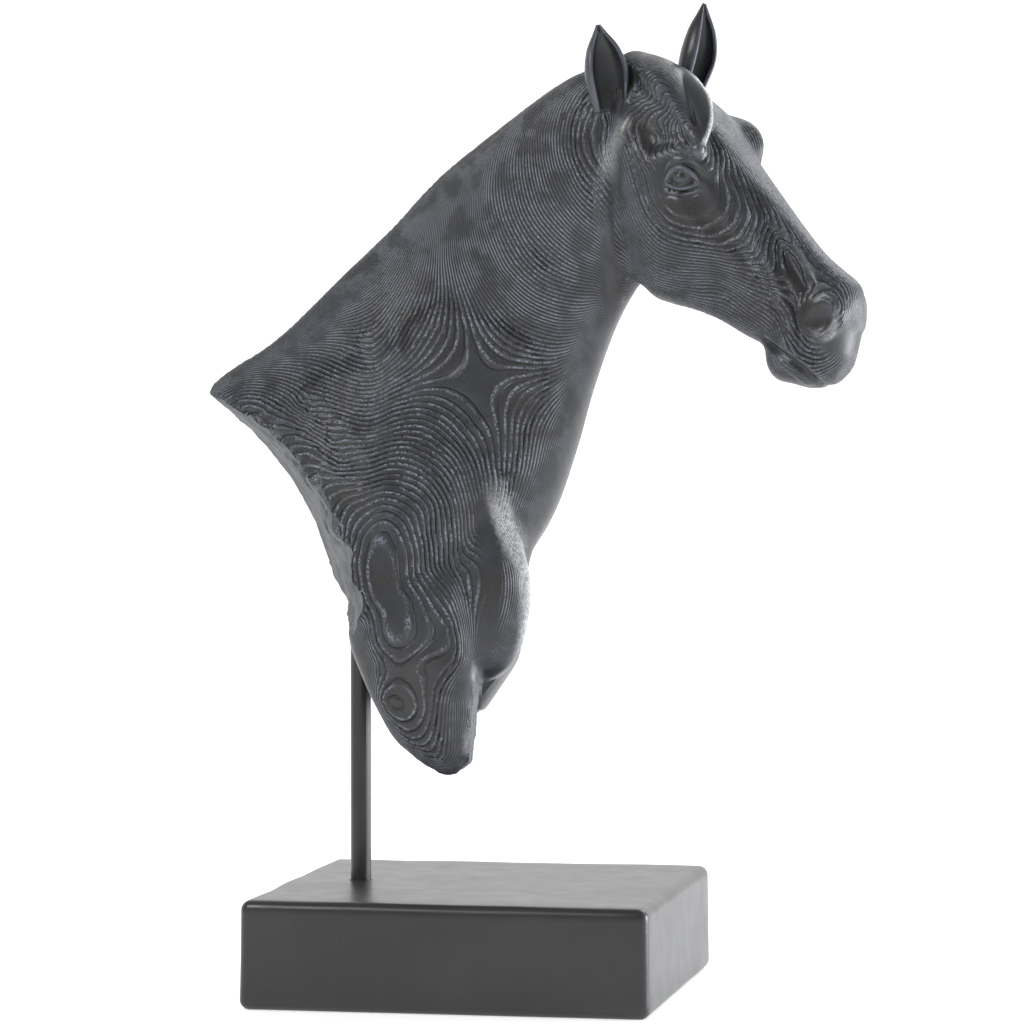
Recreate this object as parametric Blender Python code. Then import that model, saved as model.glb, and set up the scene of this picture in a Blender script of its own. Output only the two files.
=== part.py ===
"""Horse head and neck sculpture on a rod and a block base.

A cast bust of a horse, cut off behind the shoulder, stands on one round rod in a heavy block.
Metres, +Z up. The horse looks along +X and turns its head towards -Y.
The origin is the middle of the block's underside.
"""

import math

import bmesh
import bpy
import numpy as np
from mathutils import Matrix, Vector

# Block base
BASE_WIDTH = 0.187
BASE_DEPTH = 0.190
BASE_HEIGHT = 0.0495
BASE_EDGE_RADIUS = 0.003
BASE_DRAFT = 0.0008

# Rod, and where it stands on the block
ROD_DIAMETER = 0.0095
ROD_X = -0.0577
ROD_Y = 0.0
ROD_SIDES = 24
ROD_CHAMFER = 0.0006
SOCKET_DEPTH_IN_BASE = 0.030
CLEARANCE = 0.0003

# Bust: its height, and the clear rod below its lowest tip
BUST_HEIGHT = 0.355
BUST_ABOVE_BASE = 0.0515

# The tables below are millimetres on a bust 355 mm tall, and scale with its height.
# x is forward from the rod's axis, y away from the side that the head turns to, z up from the tip.
DRAWN_HEIGHT = 355.0
UNIT = BUST_HEIGHT / DRAWN_HEIGHT

# Neck and chest ribs: crest x, z, throat x, z, middle y, half-width,
# share of the way down where it is widest, roundness at the crest and at the throat
NECK_RIBS = (
    (121, 322, 146, 238, -25, 15, 0.50, 1.0, 1.0),
    (99, 315, 133, 222, -21, 20.5, 0.52, 1.1, 0.9),
    (69, 297.5, 122, 204, -14, 22, 0.56, 1.2, 0.8),
    (38, 275, 111, 177, -8, 23.5, 0.60, 1.3, 0.8),
    (15, 252.5, 103, 151, -4, 25.5, 0.60, 1.4, 0.8),
    (-13, 226.5, 94, 125.5, -1, 29, 0.58, 1.5, 0.8),
    (-41, 200.5, 85, 107, 0, 34, 0.56, 1.6, 0.8),
    (-74, 179, 79, 90, 0, 37, 0.55, 1.5, 0.75),
    (-92, 140, 77.5, 70, 0, 37, 0.56, 1.1, 0.7),
    (-70, 90, 75, 54, 0, 36, 0.58, 1.0, 0.7),
    (-30, 58, 66, 39, 0, 31, 0.60, 1.0, 0.8),
    (8, 42, 58, 27, 0, 24, 0.55, 1.0, 1.0),
)

# Lower end of each shoulder, cut off above the foreleg: z, rear x, front x, middle y, half-thickness
NEAR_SHOULDER_RIBS = (
    (125, 12, 50, -14, 12),
    (95, 6, 56, -20, 14),
    (66, 2, 60, -25, 13.5),
    (46, 7, 61, -27, 11.5),
    (28, 15.5, 63, -28, 10),
    (15, 24, 62.5, -28.5, 8.5),
    (5, 37, 60, -29, 7),
    (0, 43, 52, -29.5, 4.5),
)
FAR_SHOULDER_RIBS = (
    (125, 12, 50, 14, 12),
    (95, 6, 56, 20, 14),
    (66, 6, 58, 25, 12.5),
    (48, 14, 58, 27, 11),
    (34, 22, 56, 27, 9),
    (24, 31, 50, 27, 5),
)

# Hollow cut behind the shoulder: a drum lying across the body
SCOOP_RADIUS = 136
SCOOP_X = -148
SCOOP_Z = 58
SCOOP_YAW = math.radians(23)
SCOOP_SIDES = 120

# Underside between the shoulders: a slanting cut from its front edge up to its rear edge
UNDERSIDE_FRONT = (57, 27)
UNDERSIDE_REAR = (-12, 80)

# Top of the rod's socket in the bust
SOCKET_TOP = 118

# Head: its own frame starts at the poll, u runs down the face, v up out of the forehead
POLL = (139, -26, 325.5)
HEAD_YAW = math.radians(-17.2)
HEAD_PITCH = math.radians(45)
HEAD_ROLL = math.radians(3.5)
# forehead u, v, jaw u, v, half-width, share down where widest, roundness above and below
HEAD_RIBS = (
    (-10, -8, 0, -28, 11, 0.5, 1.0, 1.0),
    (2, -2, 16, -38, 19, 0.45, 0.9, 1.0),
    (18.5, 0.5, 38.5, -57, 25.5, 0.38, 0.9, 0.9),
    (37, 3.5, 57.5, -69.5, 29.5, 0.33, 0.85, 0.8),
    (56, 3, 77.5, -72.5, 31.5, 0.32, 0.9, 0.75),
    (70, 1.8, 87, -69.5, 28.5, 0.35, 1.0, 0.75),
    (88, 0.2, 98.5, -64.5, 22.5, 0.40, 1.0, 0.8),
    (106, -2, 113.5, -60, 18.5, 0.42, 1.0, 0.85),
    (125, -3, 129, -52, 16.5, 0.42, 1.0, 0.9),
    (137.5, -2, 137, -48.5, 17, 0.42, 1.0, 0.9),
    (147, -3, 146, -54, 18.5, 0.42, 1.0, 0.9),
    (154, -8, 154.5, -52, 18.5, 0.45, 1.0, 0.9),
    (160.5, -17, 161.5, -46.5, 15, 0.5, 0.9, 0.9),
    (165, -26.5, 165.5, -40, 8.5, 0.5, 1.0, 1.0),
)

# Modelling on the head, mirrored: middle u, side, v; reach along each; push along each
HEAD_MODELLING = (
    (51, 25, -1, 21, 13, 12, 0, 2.5, 7.5),
    (36, 26, -13, 13, 14, 12, 0, -3.5, -1.5),
    (69, 30, -18, 9, 10, 9, 0, -2.0, 0),
    (62, 27, -45, 32, 20, 26, 0, 3.5, 0),
    (86, 23, -27, 22, 14, 6, 0, 2.0, 0),
    (103, 19, -42, 17, 14, 13, 0, -2.2, 0),
    (108, 16, -12, 22, 12, 8, 0, -2.2, 0),
    (145, 17, -17, 13, 12, 13, 0, 3.0, 0.5),
    (146, 20, -18.5, 7.5, 10, 8.5, -0.5, -5.0, 0),
    (105, 0, -64, 38, 9, 14, 0, 0, 8.0),
)

# Modelling on the chest, mirrored: middle x, side, z; reach along each; push along each
CHEST_MODELLING = (
    (16, 34, 90, 32, 30, 62, 0, 5.0, 0),
    (74, 15, 88, 18, 15, 36, 3.0, 2.0, 0),
    (84, 0, 84, 16, 7, 38, -4.0, 0, 0),
    (62, 33, 78, 9, 18, 42, 0, -4.0, 0),
)

# Ears: middle of the foot, tip, and which way each opens
NEAR_EAR = ((125, -36, 303), (121.5, -42, 339.5), (0.77, -0.64, 0))
FAR_EAR = ((155, -8, 311), (162.5, -5, 353), (0.91, -0.41, 0))
EAR_HALF_WIDTH = 10.8
EAR_DEPTH = 8.0
EAR_WALL = 2.0
EAR_BOW = 2.5
EYE = (58, 27.5, -16)
EYE_RADIUS = 6.3
# share of the ear's length, share of its half-width
EAR_SHAPE = ((0, 0.6), (0.2, 0.86), (0.45, 1.0), (0.7, 0.8), (0.9, 0.36), (1.0, 0.1))

# Forelock in the head's frame: u, side towards the near eye, v, half-width, half-thickness
FORELOCK = (
    (-9, 0, -6, 11, 7),
    (3, 2, 0, 15, 7.5),
    (15, 6, 2.5, 17, 8),
    (27, 10, 3.5, 14, 8),
    (37, 14, 3.5, 10, 7.5),
    (46, 18.5, 2.5, 6.5, 5.5),
    (53, 22, 1.5, 3.2, 3.2),
    (57.5, 24.5, 0, 1, 1.2),
)

# Pointed end of the withers: x, z, half-width, half-height
WITHERS_SPUR = ((-45, 184, 9, 7), (-58, 180.5, 6, 5), (-67, 178.5, 3, 2.6), (-73, 177.5, 0.8, 0.8))

# How finely the bust is made: voxel in millimetres, triangles of the finished body, sides of a rib
VOXEL = 2.2
BODY_TRIANGLES = 8000
SIDES = 48

BUST_FOOT = BASE_HEIGHT + BUST_ABOVE_BASE
ROD_FOOT = BASE_HEIGHT - SOCKET_DEPTH_IN_BASE
ROD_TOP = BUST_FOOT + SOCKET_TOP * UNIT


def clear_scene():
    """Removes what the opened file holds."""
    for item in list(bpy.data.objects):
        bpy.data.objects.remove(item, do_unlink=True)


def smooth_rows(rows, count):
    """Rows of numbers resampled to count rows by a Catmull-Rom curve through them."""
    rows = np.asarray(rows, float)
    padded = np.vstack([2 * rows[0] - rows[1], rows, 2 * rows[-1] - rows[-2]])
    at = np.linspace(0, len(rows) - 1, count)
    span = np.minimum(at.astype(int), len(rows) - 2)
    t = (at - span)[:, None]
    p0, p1, p2, p3 = (padded[span + k] for k in range(4))
    return 0.5 * (
        2 * p1
        + (p2 - p0) * t
        + (2 * p0 - 5 * p1 + 4 * p2 - p3) * t**2
        + (3 * p1 - p0 - 3 * p2 + p3) * t**3
    )


def rib_outline(half_width, widest_at, top_power, bottom_power):
    """Shares down a rib and distances to each side, once around it."""
    around = np.linspace(0, 2 * math.pi, SIDES, endpoint=False)
    down = (1 - np.cos(around)) / 2
    skewed = down ** (math.log(0.5) / math.log(widest_at))
    power = top_power + (bottom_power - top_power) * down
    bulge = np.clip(4 * skewed * (1 - skewed), 0, 1) ** (power / 2)
    return down, half_width * bulge * np.where(around < math.pi, 1, -1)


def rib_ring(start, end, middle, half_width, widest_at, top_power, bottom_power):
    """Points around a rib between two points of a side view; the second coordinate is across."""
    down, side = rib_outline(half_width, widest_at, top_power, bottom_power)
    flat = np.outer(1 - down, start) + np.outer(down, end)
    return np.column_stack([flat[:, 0], middle + side, flat[:, 1]])


def tube(name, rings):
    """A closed mesh object skinned over rings of points."""
    mesh = bmesh.new()
    made = [[mesh.verts.new(point) for point in ring] for ring in rings]
    for first, second in zip(made, made[1:]):
        for k in range(len(first)):
            after = (k + 1) % len(first)
            mesh.faces.new((first[k], first[after], second[after], second[k]))
    mesh.faces.new(made[0])
    mesh.faces.new(made[-1])
    bmesh.ops.recalc_face_normals(mesh, faces=mesh.faces)
    return mesh_object(name, mesh)


def mesh_object(name, mesh):
    """Links a new object made from a bmesh, which is freed."""
    data = bpy.data.meshes.new(name)
    mesh.to_mesh(data)
    mesh.free()
    made = bpy.data.objects.new(name, data)
    bpy.context.collection.objects.link(made)
    return made


def head_axes():
    """Columns: down the face, across to the far side, up out of the forehead."""
    turn = Matrix.Rotation(HEAD_YAW, 3, "Z") @ Matrix.Rotation(HEAD_ROLL, 3, "X")
    turn = turn @ Matrix.Rotation(HEAD_PITCH, 3, "Y")
    return np.array(turn)


def neck_and_chest():
    """The neck, chest and shoulder girdle before the cut behind the shoulder."""
    rings = [
        rib_ring(row[0:2], row[2:4], row[4], row[5], row[6], row[7], row[8])
        for row in smooth_rows(NECK_RIBS, 60)
    ]
    return tube("neck", rings)


def shoulder_end(name, ribs):
    """One stump of shoulder, skinned over level ribs."""
    rings = []
    for z, rear, front, middle, half_thickness in smooth_rows(ribs, 32):
        ring = rib_ring((rear, z), (front, z), middle, half_thickness, 0.5, 0.7, 0.55)
        rings.append(ring)
    return tube(name, rings)


def head_form():
    """The head without ears, eyes and nostrils."""
    axes = head_axes()
    rings = []
    for row in smooth_rows(HEAD_RIBS, 70):
        ring = rib_ring(row[0:2], row[2:4], 0, row[4], row[5], row[6], row[7])
        rings.append(ring @ axes.T + np.array(POLL))
    return tube("head", rings)


def apply_modifiers(item):
    """Replaces an object's mesh by what its modifiers make of it."""
    graph = bpy.context.evaluated_depsgraph_get()
    made = bpy.data.meshes.new_from_object(item.evaluated_get(graph))
    old = item.data
    item.modifiers.clear()
    item.data = made
    bpy.data.meshes.remove(old)


def cut_or_join(item, other, operation):
    """Applies a Boolean with another object, which is removed."""
    step = item.modifiers.new(operation.lower(), "BOOLEAN")
    step.operation = operation
    step.solver = "EXACT"
    step.object = other
    apply_modifiers(item)
    bpy.data.objects.remove(other, do_unlink=True)


def scoop():
    """The drum that hollows the body behind the shoulder."""
    mesh = bmesh.new()
    bmesh.ops.create_cone(
        mesh,
        cap_ends=True,
        segments=SCOOP_SIDES,
        radius1=SCOOP_RADIUS,
        radius2=SCOOP_RADIUS,
        depth=400,
        matrix=Matrix.Translation((SCOOP_X, 0, SCOOP_Z))
        @ Matrix.Rotation(SCOOP_YAW, 4, "Z")
        @ Matrix.Rotation(math.pi / 2, 4, "X"),
    )
    return mesh_object("scoop", mesh)


def coordinates(item):
    """An object's vertices as an array."""
    points = np.empty(len(item.data.vertices) * 3)
    item.data.vertices.foreach_get("co", points)
    return points.reshape(-1, 3)


def move_to(item, points):
    """Puts an object's vertices where the array says."""
    item.data.vertices.foreach_set("co", points.ravel())
    item.data.update()


def relax(item, rounds, share=None):
    """Evens the surface by moving each vertex to the mean of its neighbours."""
    points = coordinates(item)
    edges = np.empty(len(item.data.edges) * 2, int)
    item.data.edges.foreach_get("vertices", edges)
    a, b = edges.reshape(-1, 2).T
    count = np.bincount(a, minlength=len(points)) + np.bincount(b, minlength=len(points))
    weight = 0.5 if share is None else share[:, None]
    for _ in range(rounds):
        total = np.zeros_like(points)
        np.add.at(total, a, points[b])
        np.add.at(total, b, points[a])
        points += weight * (total / count[:, None] - points)
    move_to(item, points)


def underside_cutter():
    """A wedge below the slanting underside."""
    front, rear = np.array(UNDERSIDE_FRONT, float), np.array(UNDERSIDE_REAR, float)
    slope = front - rear
    start, end = front + slope, rear - slope
    corners = (start, end, end - (0, 200), start - (0, 200))
    rings = [[(x, side, z) for x, z in corners] for side in (-60, 60)]
    return tube("underside", rings)


def eyeball(side):
    """A ball set in the socket on one side of the head."""
    mesh = bmesh.new()
    place = head_axes() @ (np.array(EYE) * (1, side, 1)) + POLL
    bmesh.ops.create_uvsphere(
        mesh, u_segments=20, v_segments=14, radius=EYE_RADIUS, matrix=Matrix.Translation(place)
    )
    return mesh_object("eye", mesh)


def falloff(points, centre, reach):
    """1 at the centre, smoothly down to 0 at the reach along each axis."""
    away = (((points - centre) / reach) ** 2).sum(axis=1)
    return np.clip(1 - away, 0, None) ** 2


def model_surface(points, rows):
    """Pushes points in or out around each row's place, the same on both sides."""
    for row in rows:
        centre, reach, push = (np.array(row[k : k + 3], float) for k in (0, 3, 6))
        for side in (1, -1) if centre[1] else (1,):
            mirror = np.array([1, side, 1])
            points += falloff(points, centre * mirror, reach)[:, None] * push * mirror
    return points


def ear(name, foot, tip, opening):
    """A curled leaf, open towards one side."""
    foot, tip, opening = (np.array(value, float) for value in (foot, tip, opening))
    axis = tip - foot
    along = axis / np.linalg.norm(axis)
    front = opening - along * opening.dot(along)
    front /= np.linalg.norm(front)
    across = np.cross(along, front)
    turn = np.linspace(-math.radians(118), math.radians(118), 11)
    rings = []
    for share, width in smooth_rows(EAR_SHAPE, 12):
        half, depth = EAR_HALF_WIDTH * width, EAR_DEPTH * width
        wall = min(EAR_WALL, 0.6 * half)
        outer = np.outer(half * np.sin(turn), across) - np.outer(depth * np.cos(turn), front)
        inward = np.outer((half - wall) * np.sin(turn), across)
        inner = inward - np.outer((depth - wall) * np.cos(turn), front)
        bow = front * EAR_BOW * math.sin(math.pi * share)
        rings.append(foot + axis * share + bow + np.vstack([outer, inner[::-1]]))
    return tube(name, rings)


def forelock():
    """The lock of mane that falls over the forehead."""
    axes = head_axes()
    around = np.linspace(0, 2 * math.pi, 24, endpoint=False)
    rings = []
    for u, side, v, half_width, half_thickness in smooth_rows(FORELOCK, 24):
        ring = np.column_stack(
            [
                np.full(24, u),
                -side + half_width * np.cos(around),
                v + half_thickness * np.sin(around),
            ]
        )
        rings.append(ring @ axes.T + np.array(POLL))
    return tube("forelock", rings)


def withers_spur():
    """The pointed end of the crest, behind the cut."""
    around = np.linspace(0, 2 * math.pi, 16, endpoint=False)
    rings = []
    for x, z, half_width, half_height in smooth_rows(WITHERS_SPUR, 10):
        side = half_width * np.cos(around)
        rings.append(np.column_stack([np.full(16, x), side, z + half_height * np.sin(around)]))
    return tube("spur", rings)


def rounded_bust():
    """The lofted masses fused into one skin, with the modelling of the muscles and the face."""
    body = neck_and_chest()
    cut_or_join(body, scoop(), "DIFFERENCE")
    cut_or_join(body, underside_cutter(), "DIFFERENCE")
    for part in (
        withers_spur(),
        shoulder_end("near shoulder", NEAR_SHOULDER_RIBS),
        shoulder_end("far shoulder", FAR_SHOULDER_RIBS),
        head_form(),
        forelock(),
        eyeball(1),
        eyeball(-1),
    ):
        cut_or_join(body, part, "UNION")
    skin = body.modifiers.new("skin", "REMESH")
    skin.mode = "VOXEL"
    skin.voxel_size = VOXEL
    apply_modifiers(body)
    relax(body, 5)
    axes = head_axes()
    points = (coordinates(body) - POLL) @ axes
    points = model_surface(points, HEAD_MODELLING) @ axes.T + POLL
    move_to(body, model_surface(points, CHEST_MODELLING))
    return body


def thin_out(item, triangles):
    """Keeps about as many triangles, where the surface bends most."""
    item.data.calc_loop_triangles()
    step = item.modifiers.new("thin", "DECIMATE")
    step.ratio = triangles / len(item.data.loop_triangles)
    apply_modifiers(item)


def round_bar(name, radius, low, high, chamfer=0.0):
    """An upright round bar at the rod's place."""
    mesh = bmesh.new()
    bmesh.ops.create_cone(
        mesh,
        cap_ends=True,
        segments=ROD_SIDES,
        radius1=radius,
        radius2=radius,
        depth=high - low,
        matrix=Matrix.Translation((0, 0, (low + high) / 2)),
    )
    if chamfer:
        rims = [edge for edge in mesh.edges if abs(edge.verts[0].co.z - edge.verts[1].co.z) < 1e-7]
        bmesh.ops.bevel(mesh, geom=rims, offset=chamfer, segments=1, affect="EDGES")
    bar = mesh_object(name, mesh)
    bar.location = (ROD_X, ROD_Y, 0)
    bpy.context.view_layer.update()
    return bar


def socket(name, low, high):
    """A cutter for the hole that the rod sits in."""
    return round_bar(name, ROD_DIAMETER / 2 + CLEARANCE, low, high)


def horse_bust():
    """The bust at its real size, with its ears and the rod's socket."""
    bust = rounded_bust()
    thin_out(bust, BODY_TRIANGLES)
    for leaf in (ear("near ear", *NEAR_EAR), ear("far ear", *FAR_EAR)):
        cut_or_join(bust, leaf, "UNION")
    place = Matrix.Translation((ROD_X, ROD_Y, BUST_FOOT)) @ Matrix.Scale(UNIT, 4)
    bust.data.transform(place)
    cut_or_join(bust, socket("bust socket", BASE_HEIGHT, ROD_TOP + CLEARANCE), "DIFFERENCE")
    bust.name = "horse_bust"
    return bust


def support_rod():
    """The round rod, from its socket in the block to its socket in the bust."""
    return round_bar("support_rod", ROD_DIAMETER / 2, ROD_FOOT, ROD_TOP, ROD_CHAMFER)


def base_block():
    """The heavy block, a little wider at its foot, with softened edges."""
    mesh = bmesh.new()
    size = Matrix.Diagonal((BASE_WIDTH, BASE_DEPTH, BASE_HEIGHT, 1))
    bmesh.ops.create_cube(mesh, size=1, matrix=Matrix.Translation((0, 0, BASE_HEIGHT / 2)) @ size)
    for corner in mesh.verts:
        if corner.co.z > BASE_HEIGHT / 2:
            corner.co.x -= math.copysign(BASE_DRAFT, corner.co.x)
            corner.co.y -= math.copysign(BASE_DRAFT, corner.co.y)
    bmesh.ops.bevel(
        mesh,
        geom=mesh.edges[:],
        offset=BASE_EDGE_RADIUS,
        segments=4,
        profile=0.5,
        affect="EDGES",
    )
    block = mesh_object("base_block", mesh)
    low, high = ROD_FOOT - CLEARANCE, 2 * BASE_HEIGHT
    cut_or_join(block, socket("base socket", low, high), "DIFFERENCE")
    return block


def finish(item, name, colour, roughness, parent, sharp_above):
    """Gives a piece its own material, shading and parent."""
    material = bpy.data.materials.new(name)
    material.use_nodes = True
    shader = material.node_tree.nodes["Principled BSDF"]
    shader.inputs["Base Color"].default_value = (*colour, 1)
    shader.inputs["Roughness"].default_value = roughness
    shader.inputs["Metallic"].default_value = 0.0
    item.data.materials.clear()
    item.data.materials.append(material)
    item.data.shade_smooth()
    item.data.set_sharp_from_angle(angle=math.radians(sharp_above))
    item.parent = parent


clear_scene()
sculpture = bpy.data.objects.new("sculpture", None)
bpy.context.collection.objects.link(sculpture)
finish(base_block(), "black satin block", (0.022, 0.022, 0.024), 0.42, sculpture, 35)
finish(support_rod(), "black satin rod", (0.02, 0.021, 0.022), 0.38, sculpture, 35)
finish(horse_bust(), "charcoal cast resin", (0.055, 0.058, 0.066), 0.6, sculpture, 50)
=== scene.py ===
"""Looks for the horse sculpture: a contour-carved cast bust, a satin rod and a satin block."""

import math

import bmesh
import bpy
import numpy as np
from mathutils import Matrix, Vector, noise
from mathutils.bvhtree import BVHTree
from mathutils.kdtree import KDTree


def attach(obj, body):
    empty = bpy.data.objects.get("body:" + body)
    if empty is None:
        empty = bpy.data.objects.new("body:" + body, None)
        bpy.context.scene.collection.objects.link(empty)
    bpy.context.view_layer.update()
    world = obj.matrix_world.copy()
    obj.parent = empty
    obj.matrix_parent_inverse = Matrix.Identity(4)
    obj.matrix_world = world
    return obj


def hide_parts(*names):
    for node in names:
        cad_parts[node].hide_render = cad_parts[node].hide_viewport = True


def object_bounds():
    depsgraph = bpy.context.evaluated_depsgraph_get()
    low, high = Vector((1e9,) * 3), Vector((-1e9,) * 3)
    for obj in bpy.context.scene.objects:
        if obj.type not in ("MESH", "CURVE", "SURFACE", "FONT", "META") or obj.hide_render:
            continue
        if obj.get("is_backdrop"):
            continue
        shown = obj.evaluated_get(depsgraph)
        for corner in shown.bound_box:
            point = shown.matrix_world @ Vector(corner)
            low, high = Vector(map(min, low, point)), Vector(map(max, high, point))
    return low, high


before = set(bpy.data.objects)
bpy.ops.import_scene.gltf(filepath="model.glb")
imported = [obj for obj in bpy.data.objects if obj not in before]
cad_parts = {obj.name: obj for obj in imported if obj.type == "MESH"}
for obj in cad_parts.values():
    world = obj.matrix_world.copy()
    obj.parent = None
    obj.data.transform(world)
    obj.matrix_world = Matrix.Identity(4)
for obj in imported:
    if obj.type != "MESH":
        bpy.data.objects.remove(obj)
cad_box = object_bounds()

# The bust's own millimetres: x forward from the rod, y away from the seen side, z up from the tip
ROD = (-0.0577, 0.0)
BUST_FOOT = 0.101
UNIT = 0.001
ROD_RADIUS = 0.00475
ROD_TOP = BUST_FOOT + 118 * UNIT
# The room around the rod in its sockets, in metres
SOCKET_GAP = 0.0003
# The block's size, the rounding of its edges, its socket's depth and the bead of paint's radii, in metres
BLOCK = (0.187, 0.190, 0.0495)
BLOCK_ROUND = 0.0045
BLOCK_SOCKET = 0.0303
BEAD_RADII = (0.0071, 0.0056)

# crest x, z, throat x, z, middle y, half-width, share down where widest, roundness above and below
NECK_RIBS = (
    (119, 325.5, 146, 238, -25, 15, 0.5, 1, 1),
    (98, 316.5, 133, 222, -21, 20, 0.52, 0.95, 0.9),
    (69, 297.5, 122, 204, -13.5, 21, 0.55, 0.95, 0.8),
    (38, 275, 111, 177, -6, 22.5, 0.58, 1, 0.8),
    (15, 252.5, 103, 151, -2, 24, 0.58, 1.1, 0.8),
    (-13, 226.5, 94, 125.5, -0.5, 29, 0.57, 1.2, 0.8),
    (-41, 200.5, 85, 107, 0, 34, 0.56, 1.3, 0.8),
    (-74, 177, 79, 90, 0, 37, 0.55, 1.3, 0.75),
    (-92, 140, 77.5, 70, 0, 37, 0.56, 1.1, 0.7),
    (-70, 90, 75, 54, 0, 36, 0.58, 1, 0.7),
    (-30, 58, 66, 39, 0, 31, 0.6, 1, 0.8),
    (8, 42, 58, 27, 0, 24, 0.55, 1, 1),
)
# z, rear x, front x, middle y, half-thickness
BREAST_RIBS = (
    (136, 44, 66, -15, 10),
    (118, 36, 74, -16, 12),
    (100, 30, 78, -17, 13),
    (84, 30, 79.5, -17, 13.5),
    (70, 30, 79, -17, 13.5),
    (58, 32, 77, -17, 13),
    (49, 36, 73, -16, 11),
    (44, 40, 67, -16, 7),
)
NEAR_SHOULDER_RIBS = (
    (125, 12, 50, -14, 12),
    (95, 6, 56, -20, 14),
    (66, 2, 60, -25, 13.5),
    (46, 8, 61, -27, 11.5),
    (28, 16, 63, -28, 10),
    (15, 24, 62.5, -28.5, 8.5),
    (5.5, 36.5, 57.5, -29, 7),
    (0.5, 43, 49, -29.5, 4.5),
)
FAR_SHOULDER_RIBS = (
    (125, 12, 50, 14, 12),
    (95, 6, 56, 20, 14),
    (66, 6, 56.5, 25, 12.5),
    (48, 14, 59.5, 27, 11),
    (34, 22, 57, 27, 9),
    (24, 31, 50, 27, 5),
)
# The drum that hollows the back, and the slanted cut under the breast: x, z of two of its points
SCOOP_RADIUS = 136
SCOOP_X = -149.5
SCOOP_Z = 58
SCOOP_YAW = math.radians(23)
UNDERSIDE_FRONT = (57, 27)
UNDERSIDE_REAR = (-12, 80)

# The head's frame: where it starts and how it is turned
POLL = (139, -26, 325.5)
HEAD_YAW = math.radians(-17.2)
HEAD_PITCH = math.radians(45)
HEAD_ROLL = math.radians(3.5)
# forehead u, v, jaw u, v, half-width, share down where widest, roundness above and below
HEAD_RIBS = (
    (-10, -9, 0, -28, 11, 0.5, 1, 1),
    (2, -2.5, 16, -38, 19, 0.47, 0.9, 0.9),
    (18.5, 3, 38.5, -57, 25.5, 0.42, 0.85, 0.7),
    (37, 7, 57.5, -69.5, 29, 0.4, 0.85, 0.6),
    (56, 5, 77.5, -72, 30.5, 0.4, 0.9, 0.58),
    (70, 2.8, 87, -68.5, 28, 0.42, 1, 0.62),
    (88, 1, 97, -63.5, 22.5, 0.43, 1, 0.7),
    (106, -1.2, 110, -58.5, 18.5, 0.43, 1, 0.8),
    (122, -2.6, 123, -54.5, 16.5, 0.42, 1, 0.85),
    (132.5, -1.8, 131, -52, 16.5, 0.42, 1, 0.9),
    (142, -0.8, 138, -57.3, 18, 0.42, 1, 0.9),
    (148.5, -3, 145.5, -58.5, 18.8, 0.42, 1, 0.9),
    (153.5, -8, 153, -54, 18, 0.45, 1, 0.9),
    (158.3, -16, 161.5, -48.5, 15, 0.5, 0.9, 0.9),
    (165, -26, 167.5, -40, 8.5, 0.5, 1, 1),
)
# middle u, side, v; reach along each; push along each; the same on both sides
HEAD_MODELLING = (
    (53, 25, -1, 22, 13, 12, 0, 3.2, 8.5),
    (36, 26, -13, 13, 14, 12, 0, -2.2, -1.2),
    (69, 30, -18, 9, 10, 9, 0, -1.2, 0),
    (64, 27, -45, 34, 20, 26, 0, 2, 0),
    (86, 23, -27, 22, 14, 6, 0, 1.5, 0),
    (103, 19, -44, 17, 14, 13, 0, -2.2, 0),
    (108, 16, -12, 22, 12, 8, 0, -2.2, 0),
    (145, 17, -17, 13, 12, 13, 0, 3, 0.5),
    (146, 20, -18.5, 7.5, 10, 8.5, -0.5, -2.6, 0),
    (105, 0, -64, 38, 9, 14, 0, 0, 8),
)
# middle x, side, z; reach along each; push along each; the same on both sides
CHEST_MODELLING = (
    (16, 34, 84, 32, 30, 62, 0, 3, 0),
    (10, 36, 94, 76, 34, 112, 0, 9, 0),
    (74, 15, 88, 18, 15, 36, 3, 2, 0),
    (84, 0, 84, 16, 7, 38, -4, 0, 0),
)
# the near brow lies lower than the far one: middle u, side, v; reach along each; push along each
NEAR_BROW = ((54, -25, 5), (20, 12, 14), (0, 2.4, -7.5))
EYE = (58, 27.5, -16)
EYE_RADIUS = 6.3
# the spur of the withers and the forelock: middle x or u, side, z or v; half-width, half-height
WITHERS_SPUR = (
    (-45, 0, 183, 9, 7),
    (-57, 0, 179.5, 6, 5),
    (-65, 0, 177.5, 3, 2.8),
    (-70, 0, 176.5, 0.8, 0.8),
)
FORELOCK = (
    (-9, 0, -8, 11, 7),
    (3, 2, -1.5, 15, 7.5),
    (15, 6, 2.5, 17, 8),
    (27, 10, 2, 13, 6.5),
    (37, 15, 1.5, 10, 5),
    (46, 20, 0, 8, 4),
    (53, 24, -2.5, 5, 3),
    (57.5, 27, -4, 1.5, 1.5),
)
# the forelock's smooth leaf: left edge u, side, v; right edge u, side, v; rise of its face, depth
FORELOCK_LEAF = (
    (14.4, -4, 9, 12.5, 2, 9.7, 0.5, 4),
    (22.2, -9.5, 8.9, 22.7, -2, 11.9, 1.5, 6),
    (28.5, -14, 7.6, 30.7, -6, 12.7, 2.2, 7),
    (33.4, -17, 6.7, 37.7, -9, 12.5, 2.6, 7),
    (39.7, -20.5, 5.3, 43.9, -14, 11.1, 2.6, 7),
    (45.8, -24, 3.8, 49.5, -19.5, 9, 2.2, 6),
    (51, -26.5, 2.6, 53.7, -25, 5.8, 1.4, 4.5),
    (55.2, -28.5, 1.7, 56.3, -28.5, 2.3, 0.5, 3),
)
# Ears: foot, tip, direction that the opening faces
NEAR_EAR = ((125, -44, 302), (119.3, -43, 341), (0.45, -0.89, 0))
FAR_EAR = ((154.5, -8, 311), (162, -5, 353), (0.91, -0.41, 0))
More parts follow.
